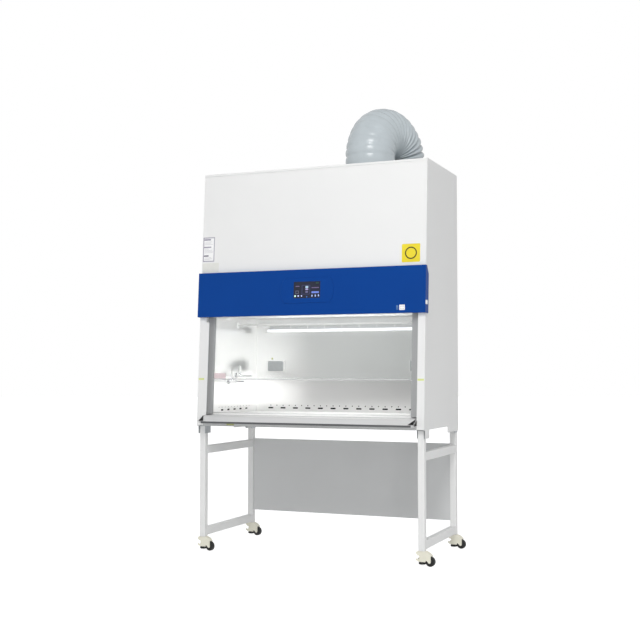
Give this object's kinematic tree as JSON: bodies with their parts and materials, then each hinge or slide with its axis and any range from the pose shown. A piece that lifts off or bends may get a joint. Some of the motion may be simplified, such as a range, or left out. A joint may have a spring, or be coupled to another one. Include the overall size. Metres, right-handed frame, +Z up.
{
  "type": "biosafety cabinet",
  "caption": "Ducted biosafety cabinet on a castered stand, with a leaning front, sliding glass sash, hinged control panel and corrugated exhaust duct.",
  "frame": {"origin": "on the floor, under the middle of the whole object's box", "axes": "+X to the operator's right, +Y to the rear of the cabinet, +Z up"},
  "size_m": [1.565, 1.1426, 2.8789],
  "materials": {
    "white_panel": "fine textured powder coat",
    "inner_sheet": "galvanised sheet",
    "guide": "anodised",
    "stainless": "satin",
    "diffuser": "powder coat",
    "blue_panel": "satin",
    "bezel": "satin",
    "screen": "polished",
    "catch": "satin",
    "stand_tube": "fine textured powder coat",
    "pane": "polished",
    "sash_edge": "anodised",
    "clamp": "mill",
    "shaft": "turned",
    "pulley": "turned",
    "belt": "matt",
    "motor": "painted",
    "filter": "matt",
    "impeller": "mill",
    "duct": "satin foil",
    "cuff": "galvanised",
    "lamp": "clear",
    "holder": "satin",
    "socket": "gloss",
    "cover": "translucent",
    "tap": "polished",
    "knob": "gloss",
    "inlet": "satin",
    "caster_cast": "gloss",
    "caster_tread": "satin",
    "caster_pad": "matt"
  },
  "bodies": {
    "cabinet": {"side_panels": "white_panel", "rear_panel": "white_panel", "roof_panel": "white_panel", "upper_front_cover": "white_panel", "front_posts": "white_panel", "floor_pan": "white_panel", "front_grille_armrest": "white_panel", "lintel_sheet": "inner_sheet", "leg_brackets": "inner_sheet", "duct_clamps": "inner_sheet", "return_plenum": "inner_sheet", "exhaust_hood": "inner_sheet", "blower_housing": "inner_sheet", "sash_guides": "guide", "drive_beam": "guide", "side_liners": "stainless", "rear_liner": "stainless", "work_tray": "stainless", "hanging_rod": "stainless", "air_diffuser": "diffuser", "stand_legs": "stand_tube", "stand_rails": "stand_tube", "stand_back_sheet": "stand_tube", "drive_belts": "belt", "drive_motor": "motor", "hepa_filters": "filter", "exhaust_duct": "duct", "duct_cuff": "cuff", "lamp_tube": "lamp", "lamp_holders": "holder", "socket_plates": "socket", "tap_bodies": "tap", "power_inlet": "inlet"},
    "control_panel": {"control_panel": "blue_panel", "display_bezel": "bezel", "display_screen": "screen"},
    "panel_catch": {"panel_catch": "catch"},
    "sash": {"sash_pane": "pane", "sash_trim": "sash_edge", "sash_clamps": "clamp"},
    "drive_shaft": {"drive_shaft": "shaft"},
    "right_idler": {"right_idler_pulley": "pulley"},
    "left_idler": {"left_idler_pulley": "pulley"},
    "blower_wheel": {"blower_wheel": "impeller"},
    "right_socket_cover": {"right_socket_cover": "cover"},
    "left_socket_cover": {"left_socket_cover": "cover"},
    "front_tap_knob": {"front_tap_knob": "knob"},
    "rear_tap_knob": {"rear_tap_knob": "knob"},
    "front_left_caster": {"front_left_caster_housing": "caster_cast"},
    "front_left_wheel": {"front_left_caster_wheel": "caster_tread"},
    "front_left_foot": {"front_left_caster_foot": "caster_pad"},
    "rear_left_caster": {"rear_left_caster_housing": "caster_cast"},
    "rear_left_wheel": {"rear_left_caster_wheel": "caster_tread"},
    "rear_left_foot": {"rear_left_caster_foot": "caster_pad"},
    "front_right_caster": {"front_right_caster_housing": "caster_cast"},
    "front_right_wheel": {"front_right_caster_wheel": "caster_tread"},
    "front_right_foot": {"front_right_caster_foot": "caster_pad"},
    "rear_right_caster": {"rear_right_caster_housing": "caster_cast"},
    "rear_right_wheel": {"rear_right_caster_wheel": "caster_tread"},
    "rear_right_foot": {"rear_right_caster_foot": "caster_pad"}
  },
  "joints": [
    {"name": "sash_slide", "type": "slide", "parent": "cabinet", "child": "sash", "axis": [0, 0.061, 0.9981], "range_m": [-0.218, 0.275]},
    {"name": "drive_shaft_turn", "type": "hinge", "parent": "cabinet", "child": "drive_shaft", "pos_m": [-0.02094, -0.35995, 2.14567], "axis": [-1, 0, 0], "range_deg": [-605, 760]},
    {"name": "right_idler_turn", "type": "hinge", "parent": "cabinet", "child": "right_idler", "pos_m": [0.62106, -0.39787, 1.52567], "axis": [-1, 0, 0], "range_deg": [-605, 760]},
    {"name": "left_idler_turn", "type": "hinge", "parent": "cabinet", "child": "left_idler", "pos_m": [-0.66294, -0.39787, 1.52567], "axis": [-1, 0, 0], "range_deg": [-605, 760]},
    {"name": "blower_wheel_spin", "type": "hinge", "parent": "cabinet", "child": "blower_wheel", "pos_m": [-0.32094, -0.0743, 1.972], "axis": [1, 0, 0], "continuous": true},
    {"name": "control_panel_hinge", "type": "hinge", "parent": "cabinet", "child": "control_panel", "pos_m": [-0.02094, -0.45927, 1.75025], "axis": [-1, 0, 0], "range_deg": [0, 75]},
    {"name": "panel_catch_turn", "type": "hinge", "parent": "control_panel", "child": "panel_catch", "pos_m": [0.73636, -0.48153, 1.53379], "axis": [1, 0, 0], "range_deg": [0, 90]},
    {"name": "right_socket_cover_hinge", "type": "hinge", "parent": "cabinet", "child": "right_socket_cover", "pos_m": [0.48906, 0.1517, 1.195], "axis": [-1, 0, 0], "range_deg": [0, 100]},
    {"name": "left_socket_cover_hinge", "type": "hinge", "parent": "cabinet", "child": "left_socket_cover", "pos_m": [-0.53094, 0.1517, 1.195], "axis": [-1, 0, 0], "range_deg": [0, 100]},
    {"name": "front_tap_turn", "type": "hinge", "parent": "cabinet", "child": "front_tap_knob", "pos_m": [-0.64994, -0.2593, 1.089], "axis": [0, 0, 1], "range_deg": [0, 90]},
    {"name": "rear_tap_turn", "type": "hinge", "parent": "cabinet", "child": "rear_tap_knob", "pos_m": [-0.64994, -0.1493, 1.124], "axis": [0, 0, 1], "range_deg": [0, 90]},
    {"name": "front_left_caster_swivel", "type": "hinge", "parent": "cabinet", "child": "front_left_caster", "pos_m": [-0.74294, -0.4663, 0.087], "axis": [0, 0, 1], "continuous": true},
    {"name": "front_left_wheel_roll", "type": "hinge", "parent": "front_left_caster", "child": "front_left_wheel", "pos_m": [-0.69144, -0.47354, 0.029], "axis": [0.1392, 0.9903, 0], "continuous": true},
    {"name": "front_left_foot_screw", "type": "slide", "parent": "front_left_caster", "child": "front_left_foot", "axis": [0, 0, -1], "range_m": [0, 0.012]},
    {"name": "rear_left_caster_swivel", "type": "hinge", "parent": "cabinet", "child": "rear_left_caster", "pos_m": [-0.74294, 0.2157, 0.087], "axis": [0, 0, 1], "continuous": true},
    {"name": "rear_left_wheel_roll", "type": "hinge", "parent": "rear_left_caster", "child": "rear_left_wheel", "pos_m": [-0.69144, 0.20846, 0.029], "axis": [0.1392, 0.9903, 0], "continuous": true},
    {"name": "rear_left_foot_screw", "type": "slide", "parent": "rear_left_caster", "child": "rear_left_foot", "axis": [0, 0, -1], "range_m": [0, 0.012]},
    {"name": "front_right_caster_swivel", "type": "hinge", "parent": "cabinet", "child": "front_right_caster", "pos_m": [0.70106, -0.4663, 0.087], "axis": [0, 0, 1], "continuous": true},
    {"name": "front_right_wheel_roll", "type": "hinge", "parent": "front_right_caster", "child": "front_right_wheel", "pos_m": [0.75256, -0.47354, 0.029], "axis": [0.1392, 0.9903, 0], "continuous": true},
    {"name": "front_right_foot_screw", "type": "slide", "parent": "front_right_caster", "child": "front_right_foot", "axis": [0, 0, -1], "range_m": [0, 0.012]},
    {"name": "rear_right_caster_swivel", "type": "hinge", "parent": "cabinet", "child": "rear_right_caster", "pos_m": [0.70106, 0.2157, 0.087], "axis": [0, 0, 1], "continuous": true},
    {"name": "rear_right_wheel_roll", "type": "hinge", "parent": "rear_right_caster", "child": "rear_right_wheel", "pos_m": [0.75256, 0.20846, 0.029], "axis": [0.1392, 0.9903, 0], "continuous": true},
    {"name": "rear_right_foot_screw", "type": "slide", "parent": "rear_right_caster", "child": "rear_right_foot", "axis": [0, 0, -1], "range_m": [0, 0.012]}
  ],
  "couplings": [
    {"joint": "drive_shaft_turn", "follows": "sash_slide", "rad_per_m": 47.619},
    {"joint": "right_idler_turn", "follows": "sash_slide", "rad_per_m": 47.619},
    {"joint": "left_idler_turn", "follows": "sash_slide", "rad_per_m": 47.619}
  ]
}
